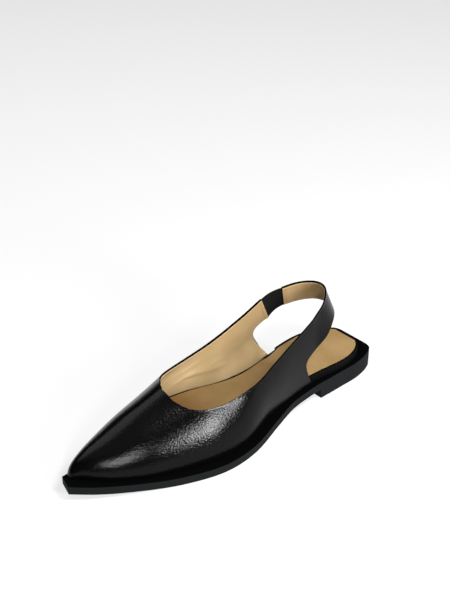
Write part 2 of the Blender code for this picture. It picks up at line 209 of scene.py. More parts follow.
# The upper's pattern on the last
upperPattern = {
    # Topline: distance behind the throat as a share of the length, height as a share of the crest's
    "lateralTopline": (
        (0.0000, 1.000), (0.0010, 0.929), (0.0044, 0.896), (0.0106, 0.850), (0.0316, 0.748),
        (0.0601, 0.677), (0.1114, 0.616), (0.1886, 0.574), (0.2354, 0.550), (0.2856, 0.559),
        (0.3495, 0.572), (0.4100, 0.585), (0.4575, 0.610),
    ),
    "medialTopline": (
        (0.0000, 1.000), (0.0010, 0.998), (0.0035, 0.995), (0.0075, 0.985), (0.0129, 0.962),
        (0.0233, 0.920), (0.0450, 0.822), (0.0692, 0.740), (0.0972, 0.686), (0.1298, 0.641),
        (0.1761, 0.590), (0.2201, 0.562), (0.2634, 0.556), (0.3081, 0.556), (0.3530, 0.563),
        (0.4100, 0.606), (0.4575, 0.640),
    ),
    # Rear of each wing, from the joint with the sole up the cut-out: share of the length of the rib's top
    # and of its bottom, and the bottom's height over the sole as a share of the instep height
    "lateralWing": (
        (0.405, 0.352, 0.000), (0.392, 0.318, 0.000), (0.380, 0.288, 0.000), (0.369, 0.262, 0.000),
        (0.355, 0.272, 0.115), (0.343, 0.281, 0.245), (0.331, 0.288, 0.365), (0.319, 0.2915, 0.455),
        (0.307, 0.2905, 0.525), (0.295, 0.284, 0.580), (0.283, 0.272, 0.630), (0.270, 0.256, 0.685),
    ),
    "medialWing": (
        (0.425, 0.350, 0.000), (0.412, 0.316, 0.000), (0.401, 0.286, 0.000), (0.391, 0.260, 0.000),
        (0.383, 0.271, 0.105), (0.374, 0.285, 0.220), (0.364, 0.297, 0.330), (0.354, 0.306, 0.430),
        (0.344, 0.3105, 0.515), (0.333, 0.3095, 0.600), (0.3225, 0.3045, 0.675), (0.314, 0.296, 0.720),
        (0.3055, 0.285, 0.758), (0.2975, 0.273, 0.784), (0.290, 0.260, 0.797),
    ),
    "footRows": 4,          # rows of each wing that still stand on the sole
    # Strap, from the lateral wing round the heel to the gore: the top edge's distance ahead of the strap's
    # back, to the side and up, as shares of its reach, half width and top height, then the bottom edge's
    # shift back and out and the width, as shares of the strap's width
    "strap": (
        (0.800, 0.945, 0.930, 0.32, 0.20, 1.36), (0.570, 0.835, 0.957, 0.40, 0.26, 1.14),
        (0.300, 0.605, 0.983, 0.40, 0.27, 1.04), (0.093, 0.335, 0.999, 0.34, 0.17, 1.03),
        (-0.010, 0.035, 1.000, 0.26, 0.07, 1.03), (0.010, -0.265, 0.992, 0.20, 0.05, 1.04),
        (0.130, -0.530, 0.977, 0.18, 0.04, 1.05), (0.340, -0.755, 0.958, 0.17, 0.05, 1.06),
        (0.630, -0.912, 0.936, 0.20, 0.05, 1.06),
    ),
    "strapBack": 0.0417,
    "strapReach": 0.0330,
    "strapHalf": 0.0245,
    "strapTop": 0.0812,
    "strapWidth": 0.0165,
    "columns": 46,          # crossings up each rib
    "edgeColumns": 4,       # of which this many lie within this run of its top edge
    "edgeRun": 0.0016,
    "fanRibs": 110,         # ribs from each wing round to the nose
    "noseCrowding": 1.35,   # how much closer together they are near the nose
    "ribSpacing": 0.0012,
    "linePlaces": 800,      # places that measure the feather and the topline, a fan rib and a wing rib
    "fanPlaces": 400,
    "wingPlaces": 200,
}

toplineCurves = {}
for key, side in (("lateralTopline", 1), ("medialTopline", -1)):
    rows = upperPattern[key]
    toplineCurves[side] = curveThrough([math.sqrt(row[0]) for row in rows], column(rows, 1))


def toplineAngle(x, side):
    share = toplineCurves[side](np.sqrt(np.maximum(throatX - x, 0.0) / length))
    full = flank(x, side)[4]
    return np.arccos(np.clip(share ** (full / 2), 0.0, 1.0))


def runAlong(line):
    # Distance of every point of a line from its start, along the line
    return np.concatenate([[0.0], np.cumsum(np.linalg.norm(np.diff(line, axis=0), axis=1))])


def pointsAt(line, at):
    # The places that lie at these distances along a line
    run = runAlong(line)
    return np.stack([np.interp(at, run, line[:, axis]) for axis in range(3)], axis=1)


def upRib(line):
    # Crossings spread evenly up a rib, and closer together at its top edge
    run = runAlong(line)[-1]
    fine = upperPattern["edgeColumns"]
    low = run - upperPattern["edgeRun"]
    evenly = np.linspace(0, low, upperPattern["columns"] - fine)
    atEdge = np.linspace(low, run, fine + 1)[1:]
    return pointsAt(line, np.concatenate([evenly, atEdge]))


def placesAlong(line, shares):
    # The x of the places that lie at these shares of a line's length
    run = runAlong(line)
    return np.interp(np.asarray(shares) * run[-1], run, line[:, 0])


def spreadRib(x):
    # Half the last's girth, which turns an angle into a breadth that closes at the nose
    root = np.sqrt(np.maximum(noseX - x, 0.0))
    return (lastCurves["lateralGirth"](root) - lastCurves["medialGirth"](root)) / 2


def fanRibs(side):
    # Ribs from the feather to the topline, leaning round from the wing to the nose and the throat
    wing = upperPattern["lateralWing" if side > 0 else "medialWing"]
    back = np.linspace(1, 0, upperPattern["linePlaces"]) ** 2
    footX = noseX - (noseX - wing[0][1] * length) * back
    topX = throatX - (throatX - wing[0][0] * length) * back
    foot = lastPoint(footX, side, np.full_like(footX, math.pi / 2))
    top = lastPoint(topX, side, toplineAngle(topX, side))
    shares = 1 - (1 - np.linspace(0, 1, upperPattern["fanRibs"])) ** upperPattern["noseCrowding"]
    along = np.linspace(0, 1, upperPattern["fanPlaces"]) ** 2
    ribs = []
    for fx, tx in zip(placesAlong(foot, shares), placesAlong(top, shares)):
        low = spreadRib(fx)
        high = spreadRib(tx) * toplineAngle(tx, side) / (math.pi / 2)
        x = fx + (tx - fx) * along
        share = np.clip((low + along * (high - low)) / np.maximum(spreadRib(x), 1e-7), 0.0, 1.0)
        share[0] = 1.0
        ribs.append(upRib(lastPoint(x, side, share * math.pi / 2)))
    return ribs


def wingRib(row, side):
    topX = row[0] * length
    top = lastPoint(topX, side, toplineAngle(topX, side))
    footX = row[1] * length
    footZ = soleTop(footX) + shoe["seam"] + row[2] * shoe["instepHeight"]
    share = np.linspace(0, 1, upperPattern["wingPlaces"])
    x = footX + (top[0] - footX) * share
    z = footZ + (top[2] - footZ) * share
    y = flankY(x, side, z - soleTop(x) - shoe["seam"])
    return upRib(np.stack([x, y, z], axis=1))


def strapRib(row):
    top = np.array((
        upperPattern["strapBack"] + row[0] * upperPattern["strapReach"],
        row[1] * upperPattern["strapHalf"],
        row[2] * upperPattern["strapTop"],
    ))
    fall = np.array((-row[3], math.copysign(row[4], row[1]), -1.0))
    bottom = top + fall / np.linalg.norm(fall) * row[5] * upperPattern["strapWidth"]
    return upRib(np.stack([bottom, top]))


def ribsThrough(keys, spacing):
    # Smooth sheet through a few ribs, with ribs at an even spacing
    keys = np.array(keys)
    steps = np.linalg.norm(np.diff(keys, axis=0), axis=2).mean(axis=1)
    place = np.concatenate([[0.0], np.cumsum(steps)])
    rise = np.diff(keys, axis=0) / steps[:, None, None]
    slope = np.concatenate([rise[:1], rise[:-1], rise[-1:]])
    share = (steps[:-1] / (steps[:-1] + steps[1:]))[:, None, None]
    slope[1:-1] = rise[:-1] * (1 - share) + rise[1:] * share
    count = max(int(round(place[-1] / spacing)), 2)
    at = np.linspace(0.0, place[-1], count + 1)
    k = np.clip(np.searchsorted(place, at) - 1, 0, len(steps) - 1)
    run = steps[k][:, None, None]
    t = (at[:, None, None] - place[k][:, None, None]) / run
    return cubic(t, run, keys[k], keys[k + 1], slope[k], slope[k + 1])


def upperSheet():
    # The whole upper as one sheet, from the medial tab round the toe to the strap's end. Also gives, for
    # each rib, whether it stands on the sole
    spacing = upperPattern["ribSpacing"]
    foot = upperPattern["footRows"]
    halves = {}
    for side, key in ((1, "lateralWing"), (-1, "medialWing")):
        fan = fanRibs(side)
        wing = [fan[0]] + [wingRib(row, side) for row in upperPattern[key][1:]]
        free = wing[foot - 1:]
        if side > 0:
            free = free + [strapRib(row) for row in upperPattern["strap"]]
        seated = ribsThrough(wing[:foot], spacing)
        loose = ribsThrough(free, spacing)
        ribs = np.concatenate([loose[::-1], seated[::-1][1:], np.array(fan)[1:]])
        onSole = np.concatenate([np.zeros(len(loose) - 1), np.ones(len(ribs) - len(loose) + 1)])
        halves[side] = (ribs, onSole)
    medial, medialSole = halves[-1]
    lateral, lateralSole = halves[1]
    return np.concatenate([medial, lateral[::-1][1:]]), np.concatenate([medialSole, lateralSole[::-1][1:]])


def sheetNormals(points):
    across = np.gradient(points, axis=0)
    up = np.gradient(points, axis=1)
    normal = np.cross(across, up)
    return normal / np.maximum(np.linalg.norm(normal, axis=2, keepdims=True), 1e-12)


# Mesh helpers

def sheetMesh(points, layerName=None, values=None):
    # A flat grid whose crossings are lifted to their places, and may each be given a value
    rows, columns = points.shape[:2]
    bm = bmesh.new()
    bmesh.ops.create_grid(bm, x_segments=rows - 1, y_segments=columns - 1, size=1.0)
    layer = bm.verts.layers.float.new(layerName) if layerName else None
    for vert in bm.verts:
        i = round((vert.co.x + 1) / 2 * (rows - 1))
        j = round((vert.co.y + 1) / 2 * (columns - 1))
        vert.co = points[i, j]
        if layer:
            vert[layer] = float(values[i, j])
    return bm


def smoothInside(bm, rounds):
    inside = [vert for vert in bm.verts if not vert.is_boundary]
    for _ in range(rounds):
        bmesh.ops.smooth_vert(
            bm, verts=inside, factor=0.5, use_axis_x=True, use_axis_y=True, use_axis_z=True)


def closeUp(bm):
    # A sheet that has been wrapped round becomes one closed body
    bmesh.ops.remove_doubles(bm, verts=bm.verts[:], dist=1e-6)
    bmesh.ops.holes_fill(bm, edges=[e for e in bm.edges if e.is_boundary], sides=0)
    bmesh.ops.recalc_face_normals(bm, faces=bm.faces[:])


def addPiece(bm, name, material, replaced=()):
    # Moves the mesh into the frame, where the piece rides on the shoe's one body
    bmesh.ops.translate(bm, verts=bm.verts[:], vec=toFrame)
    mesh = bpy.data.meshes.new(name)
    bm.to_mesh(mesh)
    bm.free()
    mesh.shade_smooth()
    mesh.materials.append(material)
    piece = bpy.data.objects.new(name, mesh)
    bpy.context.scene.collection.objects.link(piece)
    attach(piece, "root")
    if replaced:
        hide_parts(*replaced)
    return piece


def addWall(piece, thickness, edge, segments=3):
    wall = piece.modifiers.new("wall", "SOLIDIFY")
    wall.thickness = thickness
    wall.offset = -1.0
    wall.use_rim = True
    addRound(piece, edge, segments)


def addRound(piece, edge, segments=3):
    rounded = piece.modifiers.new("rounded edge", "BEVEL")
    rounded.width = edge
    rounded.segments = segments
    rounded.limit_method = "ANGLE"
    rounded.angle_limit = math.radians(40)
    rounded.profile = 0.5
    rounded.use_clamp_overlap = True


# Material helpers

def colour(hexValue):
    # sRGB hex to the linear values that the shader takes
    parts = [int(hexValue[k:k + 2], 16) / 255 for k in (1, 3, 5)]
    linear = [p / 12.92 if p <= 0.04045 else ((p + 0.055) / 1.055) ** 2.4 for p in parts]
    return (*linear, 1.0)


def addNode(tree, kind, settings=None, links=None):
    # One node, with its settings by property or socket name and its links by socket name
    node = tree.nodes.new(kind)
    for key, value in (settings or {}).items():
        if isinstance(key, str) and hasattr(node, key):
            setattr(node, key, value)
        else:
            node.inputs[key].default_value = value
    for key, source in (links or {}).items():
        tree.links.new(source, node.inputs[key])
    return node


def newMaterial(name, sockets):
    material = bpy.data.materials.new(name)
    material.use_nodes = True
    tree = material.node_tree
    shader = tree.nodes["Principled BSDF"]
    for key, value in sockets.items():
        shader.inputs[key].default_value = value
    return material, tree, shader


def addBump(tree, shader, height, strength, depth):
    bump = addNode(
        tree, "ShaderNodeBump", {"Strength": strength, "Distance": depth}, {"Height": height})
    tree.links.new(bump.outputs["Normal"], shader.inputs["Normal"])


def addGrain(tree, shader, size, depth, strength, detail, roughness=0.5):
    # A fine unevenness all over
    place = addNode(tree, "ShaderNodeTexCoord").outputs["Object"]
    noise = addNode(
        tree, "ShaderNodeTexNoise", {"Scale": 1 / size, "Detail": detail, "Roughness": roughness},
        {"Vector": place})
    addBump(tree, shader, noise.outputs["Fac"], strength, depth)


# Smooth black calf, drummed and lightly glazed: deep black, a soft gloss, and a fine grain that breaks
# up the highlights
calf = {
    "black": "#030303",
    "roughness": 0.15,
    "grainSize": 0.00135,   # real grain is nearer 0.3 mm, drawn as coarse as it needs to show
    "grainDepth": 0.00016,
    "pebbleShare": 0.6,     # of the pebbles against the finer noise
    "patchSize": 0.012,     # patches that are a little glossier or duller
    "glossier": 0.03,
    "duller": 0.07,
}


def calfMaterial():
    material, tree, shader = newMaterial("black calf leather", {
        "Base Color": colour(calf["black"]),
        "Roughness": calf["roughness"],
        "IOR": 1.2,
        "Specular IOR Level": 0.54,
        "Coat Weight": 0.02,
        "Coat Roughness": 0.12,
        "Coat IOR": 1.35,
    })
    place = addNode(tree, "ShaderNodeTexCoord").outputs["Object"]
    patches = addNode(
        tree, "ShaderNodeTexNoise", {"Scale": 1 / calf["patchSize"], "Detail": 2.0}, {"Vector": place})
    pebble = addNode(
        tree, "ShaderNodeTexVoronoi",
        {"Scale": 1 / calf["grainSize"], "feature": "SMOOTH_F1", "Smoothness": 0.6}, {"Vector": place})
    fine = addNode(
        tree, "ShaderNodeTexNoise", {"Scale": 1 / calf["grainSize"], "Detail": 3.0, "Roughness": 0.6},
        {"Vector": place})
    grain = addNode(
        tree, "ShaderNodeMath", {"operation": "MULTIPLY_ADD", 1: calf["pebbleShare"]},
        {0: pebble.outputs["Distance"], 2: fine.outputs["Fac"]})
    roughness = addNode(
        tree, "ShaderNodeMapRange",
        {"To Min": calf["roughness"] - calf["glossier"], "To Max": calf["roughness"] + calf["duller"]},
        {"Value": patches.outputs["Fac"]})
    tree.links.new(roughness.outputs["Result"], shader.inputs["Roughness"])
    addBump(tree, shader, grain.outputs["Value"], 0.8, calf["grainDepth"])
    return material


# Vegetable tanned lining leather, smooth and unfinished: matt tan with soft clouding, paler at cut edges,
# and painted shade that deepens it towards the topline and, on the sock, under the vamp
lining = {
    "tan": "#A7906B",
    "deep": "#97805A",
    "top": "#8A7350",       # painted shade, a little deeper towards the topline
    "sockTan": "#8B714B",
    "sockDeep": "#7E653F",
    "sockToeShade": "#6B4B24",   # painted shade, deeper under the vamp
    "pale": "#A68E66",
    "roughness": 0.55,
    "grainSize": 0.0009,
    "grainDepth": 0.00003,
    "cloudSize": 0.030,
    "offset": 0.00134,      # from the upper's outer face to the lining's back
    "thickness": 0.00046,
    "rim": 0.0009,          # how far the lining's edge stops short of the black edge
    "paleRun": 0.0009,      # how far in the cut edge is paler
    "edge": 0.00018,
    "topShadeFrom": 0.030,       # heights and places along the frame between which the painted shade deepens
    "topShadeTo": 0.062,
    "toeShadeFrom": -0.010,
    "toeShadeTo": 0.040,
    "foldFade": 0.3,        # share of a fold's run over which each end fades out
    "smoothing": 3,
}


def tanMaterial(name, tan, deep, far, axis, shadeFrom, shadeTo):
    material, tree, shader = newMaterial(name, {
        "Roughness": lining["roughness"],
        "IOR": 1.45,
        "Specular IOR Level": 0.15,
        "Sheen Weight": 0.03,
        "Sheen Roughness": 0.5,
    })
    place = addNode(tree, "ShaderNodeTexCoord").outputs["Object"]
    cloud = addNode(
        tree, "ShaderNodeTexNoise", {"Scale": 1 / lining["cloudSize"], "Detail": 3.0, "Roughness": 0.5},
        {"Vector": place})
    share = addNode(
        tree, "ShaderNodeMapRange", {"From Min": 0.35, "From Max": 0.65}, {"Value": cloud.outputs["Fac"]})
    tone = addNode(
        tree, "ShaderNodeMix", {"data_type": "RGBA", 6: colour(deep), 7: colour(tan)},
        {0: share.outputs["Result"]})
    # Painted shade: the tone deepens towards the far colour between the two given places along the axis
    apart = addNode(tree, "ShaderNodeSeparateXYZ", None, {"Vector": place})
    along = addNode(
        tree, "ShaderNodeMapRange",
        {"interpolation_type": "SMOOTHSTEP", "From Min": shadeFrom, "From Max": shadeTo},
        {"Value": apart.outputs[axis]})
    shaded = addNode(
        tree, "ShaderNodeMix", {"data_type": "RGBA", 7: colour(far)},
        {0: along.outputs["Result"], 6: tone.outputs[2]})
    edge = addNode(tree, "ShaderNodeAttribute", {"attribute_name": "cutEdge"})
    paled = addNode(
        tree, "ShaderNodeMix", {"data_type": "RGBA", 7: colour(lining["pale"])},
        {0: edge.outputs["Fac"], 6: shaded.outputs[2]})
    tree.links.new(paled.outputs[2], shader.inputs["Base Color"])
    addGrain(tree, shader, lining["grainSize"], lining["grainDepth"], 0.5, 3.0, 0.6)
    return material


# Moulded rubber sole with a matt skin: dark grey, no clear reflection
rubber = {
    "grey": "#111314",
    "shine": 0.05,
    "ink": "#020202",       # edge ink on the upper's cut edges, and painted shade on the sole's top face
    "inkAndShelfShadeShine": 0.02,
    "roughness": 0.75,
    "skinSize": 0.0012,
    "skinDepth": 0.00003,
}


def rubberMaterial(name, hexValue, shine):
    material, tree, shader = newMaterial(name, {
        "Base Color": colour(hexValue),
        "Roughness": rubber["roughness"],
        "IOR": 1.5,
        "Specular IOR Level": shine,
    })
    addGrain(tree, shader, rubber["skinSize"], rubber["skinDepth"], 0.5, 4.0, 0.6)
    return material


# Thin black leather wrapped round the footbed's edge: matt, with a faint grain
wrap = {
    "black": "#060606",
    "grainSize": 0.0008,
    "grainDepth": 0.00003,
}


def wrapMaterial():
    material, tree, shader = newMaterial("black wrap leather", {
        "Base Color": colour(wrap["black"]),
        "Roughness": 0.55,
        "IOR": 1.45,
        "Specular IOR Level": 0.04,
    })
    addGrain(tree, shader, wrap["grainSize"], wrap["grainDepth"], 0.4, 3.0)
    return material


# Woven elastic: matt black yarn over rubber
elastic = {
    "black": "#0C0C0C",
    "yarnSize": 0.0005,
    "yarnDepth": 0.00006,
}


def elasticMaterial():
    material, tree, shader = newMaterial("black woven elastic", {
        "Base Color": colour(elastic["black"]),
        "Roughness": 0.85,
        "Sheen Weight": 0.02,
        "Sheen Roughness": 0.4,
        "Specular IOR Level": 0.05,
    })
    addGrain(tree, shader, elastic["yarnSize"], elastic["yarnDepth"], 0.6, 2.0)
    return material


# Waxed sewing thread, tan on the lining and black on the calf
thread = {
    "tan": "#8A5A32",
    "black": "#1A1A1B",
    "twistSize": 0.0003,
    "twistDepth": 0.00004,
}


def threadMaterial(name, hexValue):
    material, tree, shader = newMaterial(name, {
        "Base Color": colour(hexValue),
        "Roughness": 0.6,
        "Sheen Weight": 0.2,
    })
    addGrain(tree, shader, thread["twistSize"], thread["twistDepth"], 0.5, 1.0)
    return material


calfLeather = calfMaterial()
liningLeather = tanMaterial(
    "tan lining leather", lining["tan"], lining["deep"], lining["top"],
    "Z", lining["topShadeFrom"], lining["topShadeTo"])
sockLeather = tanMaterial(
    "tan sock leather", lining["sockTan"], lining["sockDeep"], lining["sockToeShade"],
    "X", lining["toeShadeFrom"], lining["toeShadeTo"])
soleRubber = rubberMaterial("matt black rubber", rubber["grey"], rubber["shine"])
edgeInkAndShelfShade = rubberMaterial("black edge ink and painted shelf shade", rubber["ink"], rubber["inkAndShelfShadeShine"])
wrapLeather = wrapMaterial()
wovenElastic = elasticMaterial()
tanThread = threadMaterial("tan thread", thread["tan"])
blackThread = threadMaterial("black thread", thread["black"])
print("materials made")

# The black upper
upper = {
    "thickness": 0.0013,
    "edge": 0.0005,
    "smoothing": 4,
    "bead": 0.00010,        # how far the turned and stitched top edge stands out, and how wide it is
    "beadWidth": 0.0010,
    "beadEase": 0.4,        # share of that width over which it falls away
}


def makeUpper(sheet):
    fromTop = np.array([runAlong(rib)[-1] - runAlong(rib) for rib in sheet])
    bm = sheetMesh(sheet, "fromTop", fromTop)
    smoothInside(bm, upper["smoothing"])
    bm.normal_update()
    layer = bm.verts.layers.float["fromTop"]
    for vert in bm.verts:
        share = (upper["beadWidth"] - vert[layer]) / (upper["beadEase"] * upper["beadWidth"])
        vert.co += vert.normal * upper["bead"] * float(ease(share))
    piece = addPiece(bm, "upper_leather", calfLeather, ["upper"])
    piece.data.materials.append(edgeInkAndShelfShade)
    addWall(piece, upper["thickness"], upper["edge"])
    piece.modifiers["wall"].material_offset_rim = 1


# Soft folds of the lining: the side, where each starts and ends as shares of the length and of the height
# up the rib, its half width up the rib and its height
liningFolds = (
    (-1, 0.560, 0.50, 0.390, 0.34, 0.045, 0.00075),
    (-1, 0.590, 0.36, 0.455, 0.58, 0.024, 0.00055),
    (-1, 0.570, 0.60, 0.470, 0.74, 0.024, 0.00050),
    (-1, 0.500, 0.46, 0.405, 0.52, 0.024, 0.00050),
    (-1, 0.640, 0.50, 0.560, 0.70, 0.030, 0.00025),
    (-1, 0.400, 0.50, 0.330, 0.66, 0.045, 0.00030),
    (1, 0.560, 0.45, 0.420, 0.55, 0.060, 0.00035),
)


def foldHeight(x, height, side):
    raised = np.zeros_like(x)
    for onSide, startX, startUp, endX, endUp, half, lift in liningFolds:
        run = (x / length - startX) / (endX - startX)
        middle = startUp + (endUp - startUp) * run
        across = np.exp(-((height - middle) / half) ** 2)
        fade = ease(run / lining["foldFade"]) * ease((1 - run) / lining["foldFade"])
        raised += np.where(side == onSide, lift * across * fade, 0.0)
    return raised


def makeLining(sheet, onSole):
    normals = sheetNormals(sheet)
    rows, columns = sheet.shape[:2]
    rim = lining["rim"]
    trimmed = np.zeros_like(sheet)
    edge = np.zeros((rows, columns))
    for k in range(rows):
        rib = sheet[k] - normals[k] * lining["offset"]
        start = 0.0 if onSole[k] else rim
        stop = runAlong(rib)[-1] - rim
        at = np.linspace(start, stop, columns)
        trimmed[k] = pointsAt(rib, at)
        fromEdge = np.minimum(stop - at, at - start if not onSole[k] else 1.0)
        edge[k] = 1 - ease(fromEdge / lining["paleRun"])
    height = np.linspace(0, 1, columns)[None, :].repeat(rows, axis=0)
    side = np.where(trimmed[:, :, 1] > 0, 1, -1)
    trimmed -= normals * foldHeight(trimmed[:, :, 0], height, side)[:, :, None]
    bm = sheetMesh(trimmed, "cutEdge", edge)
    smoothInside(bm, lining["smoothing"])
    piece = addPiece(bm, "upper_lining", liningLeather)
    addWall(piece, lining["thickness"], lining["edge"], 2)


sheet, onSole = upperSheet()
print("upper sheet:", sheet.shape)
makeUpper(sheet)
makeLining(sheet, onSole)
print("upper and lining made")

# Heel seat of the footbed: share of the length past the seat's back edge, lateral and medial distance
# from the middle line as shares of half the heel's width
footbed = {
    "seatRows": (
        (0.000, 0.26, 0.23), (0.004, 0.38, 0.34), (0.011, 0.52, 0.47), (0.025, 0.66, 0.585),
        (0.048, 0.78, 0.70), (0.078, 0.86, 0.81), (0.117, 0.89, 0.87), (0.195, 0.845, 0.82),
        (0.262, 0.85, 0.70), (0.330, 1.00, 0.90), (0.420, 1.50, 1.40),
    ),
    "seatInset": 0.0089,
    "boardThickness": 0.0048,
    "sockThickness": 0.0012,
    "boardToeRoom": 0.0075,
    "sockToeRoom": 0.0105,
    "wall": 0.0018,
    # Black rim round the sock: its width at the heel and ahead of the arch, how far it stands below the
    # sock's face, and how far its inner side falls in
    "heelRim": 0.0023,
    "toeRim": 0.0013,
    "rimFromShare": 0.45,
    "rimToShare": 0.78,
    "waistRim": 0.0029,     # further in at the medial waist, where the lining leans over the rim
    "waistShare": 0.39,
    "waistHalf": 0.080,
    "rimDrop": 0.0001,
    "rimFall": 0.0005,
    "rimSeam": 0.00015,
    "turnIn": 8,            # heel rims over which the sock's back corner turns into its side
    "stations": 170,
    "crowding": 1.35,       # how much closer together the stations are at the heel
    "across": 64,
    "wrapEdge": 0.0004,
    "sockEdge": 0.0003,
}
seatCurves = {}
for side, place in ((1, 1), (-1, 2)):
    rows = footbed["seatRows"]
    seatCurves[side] = curveThrough([math.sqrt(row[0]) for row in rows], column(rows, place))


def innerEdge(x, side, height):
    # Inside of the wall, less the seam, at a height over the sole
    step = length / 1000
    run = (flankY(x + step, side, height) - flankY(x - step, side, height)) / (2 * step)
    climb = (flankY(x, side, height + step) - flankY(x, side, height)) / step
    reach = (footbed["wall"] + shoe["seam"]) * np.sqrt(1 + run * run + climb * climb)
    return flankY(x, side, height) - side * reach


def footbedEdge(x, side, low, high, margin):
    # The seat's outline in the heel and the wall's inside ahead of it
    at = np.sqrt(np.maximum(x - footbed["seatInset"], 0.0) / length)
    seat = shoe["heelWidth"] / 2 * seatCurves[side](at) - margin
    corner = min(row[1] for row in upperPattern["lateralWing"] + upperPattern["medialWing"]) * length
    inside = np.minimum(side * innerEdge(x, side, low), side * innerEdge(x, side, high)) - margin
    behind = x < corner - 2 * footbed["wall"]
    return side * np.where(behind, seat, np.where(x > throatX, inside, np.minimum(seat, inside)))


def rimWidth(x):
    share = (x / length - footbed["rimFromShare"]) / (footbed["rimToShare"] - footbed["rimFromShare"])
    return footbed["heelRim"] + (footbed["toeRim"] - footbed["heelRim"]) * ease(share)


def footbedPlan(low, high, toeRoom, inset):
    # Places across the footbed at every station, closer together near its edges
    back = footbed["seatInset"] + (footbed["heelRim"] if inset else 0.0)
    x = back + (noseX - toeRoom - back) * np.linspace(0, 1, footbed["stations"]) ** footbed["crowding"]
    margin = rimWidth(x) if inset else 0 * x
    turned = ease((x - back) / (footbed["turnIn"] * footbed["heelRim"]))
    at = np.maximum(x, footbed["seatInset"] + (x - back) + margin * turned)
    lateral = footbedEdge(at, 1, low, high, margin)
    fromWaist = (at / length - footbed["waistShare"]) / footbed["waistHalf"]
    waist = footbed["waistRim"] * np.exp(-fromWaist ** 2)
    medial = footbedEdge(at, -1, low, high, margin + (waist if inset else 0.0))
    across = (1 - np.cos(np.linspace(0, math.pi, footbed["across"]))) / 2
    y = lateral[:, None] + (medial - lateral)[:, None] * across[None, :]
    return x[:, None] + 0 * y, y


def fromPlanEdge(x, y):
    # Distance of every place of a plan from the plan's edge
    edge = np.concatenate([
        np.stack([x[:, 0], y[:, 0]], axis=1), np.stack([x[:, -1], y[:, -1]], axis=1),
        np.stack([x[0], y[0]], axis=1),
    ])
    place = np.stack([x, y], axis=2)[:, :, None, :]
    return np.linalg.norm(place - edge[None, None, :, :], axis=3).min(axis=2)


def footbedLayer(name, plan, lowZ, highZ, material, node, edge):
    # One layer: its top from one side to the other, then its flat underside back again
    x, y = plan
    top = np.stack([x, y, highZ], axis=2)
    under = np.stack([x, y, lowZ], axis=2)[:, ::-1]
    bm = sheetMesh(np.concatenate([top, under, top[:, :1]], axis=1))
    closeUp(bm)
    addRound(addPiece(bm, name, material, [node]), edge)


def makeFootbed():
    seam = shoe["seam"]
    boardHigh = seam + footbed["boardThickness"]
    sockLow = boardHigh + seam
    sockHigh = sockLow + footbed["sockThickness"]
    rimRise = sockHigh - footbed["rimDrop"] - boardHigh
    x, y = footbedPlan(seam, sockHigh, footbed["boardToeRoom"], False)
    inward = fromPlanEdge(x, y) - rimWidth(x) + footbed["rimFall"] + footbed["rimSeam"]
    high = soleTop(x) + boardHigh + rimRise * (1 - ease(inward / footbed["rimFall"]))
    footbedLayer(
        "footbed_wrap", (x, y), soleTop(x) + seam, high,
        wrapLeather, "insole_board", footbed["wrapEdge"])
    x, y = footbedPlan(sockLow, sockHigh, footbed["sockToeRoom"], True)
    footbedLayer(
        "sock", (x, y), soleTop(x) + sockLow, soleTop(x) + sockHigh,
        sockLeather, "sock_lining", footbed["sockEdge"])


makeFootbed()
print("footbed made")

# The unit sole with its low heel
sole = {
    "tipSlantDeg": 16.0,
    "tipFrom": 0.9,         # share of the length from which the sections turn with the slanted tip
    "breastRun": 0.0008,
    "edge": 0.0005,
    "shelfShadeSlope": 0.7,        # faces that look up more than this get the painted shade
    "heelStations": 40,
    "heelCrowding": 1.8,
    "stations": 150,
    "sideSteps": 6,
    "acrossSteps": 10,
}


def soleSection(share, bottom):
    # Closed section of the sole; near the tip it turns with the slanted end
    lateral = float(outlineLateral(share))
    medial = float(outlineMedial(share))
    turned = float(ease((share - sole["tipFrom"]) / (1 - sole["tipFrom"])))
    slant = math.tan(math.radians(sole["tipSlantDeg"])) * turned
    across = np.linspace(0, 1, sole["acrossSteps"] + 1)
    up = np.linspace(0, 1, sole["sideSteps"] + 1)
    y = np.concatenate([
        lateral + 0 * up[:-1], lateral + (medial - lateral) * across[:-1],
        medial + 0 * up[:-1], medial + (lateral - medial) * across,
    ])
    level = np.concatenate([up[:-1], 1 + 0 * across[:-1], 1 - up[:-1], 0 * across])
    x = share * length - slant * (lateral - y)
    base = bottom(x)
    return np.stack([x, y, base + (soleTop(x) - base) * level], axis=1)


def makeSole():
    breast = shoe["heelLength"] / length
    front = breast + sole["breastRun"] / length
    heelShares = breast * np.linspace(0, 1, sole["heelStations"]) ** sole["heelCrowding"]
    soleShares = np.linspace(front, 1.0, sole["stations"])
    sections = [soleSection(s, lambda x: 0 * x) for s in heelShares]
    sections += [soleSection(s, soleRise) for s in soleShares]
    bm = sheetMesh(np.array(sections))
    closeUp(bm)
    piece = addPiece(bm, "unit_sole", soleRubber, ["outsole"])
    piece.data.materials.append(edgeInkAndShelfShade)
    # The sole's upward faces, its top shelf among them, take the near black as painted shade
    for face in piece.data.polygons:
        face.material_index = 1 if face.normal.z > sole["shelfShadeSlope"] else 0
    addRound(piece, sole["edge"])


makeSole()
print("sole made")

# The elastic gore, ribbed along its length
gore = {
    "thickness": 0.0010,
    "edge": 0.0002,
    "margin": 0.0006,
    "ribs": 17,
    "ribHeight": 0.00008,
    "tuck": 0.0004,         # how far its ends reach into the leather's ends
    "steps": 24,
    "columns": 103,
    "inset": 0.0004,        # from the leather's outer face
    "bow": 0.0019,          # how far its middle stands out
}


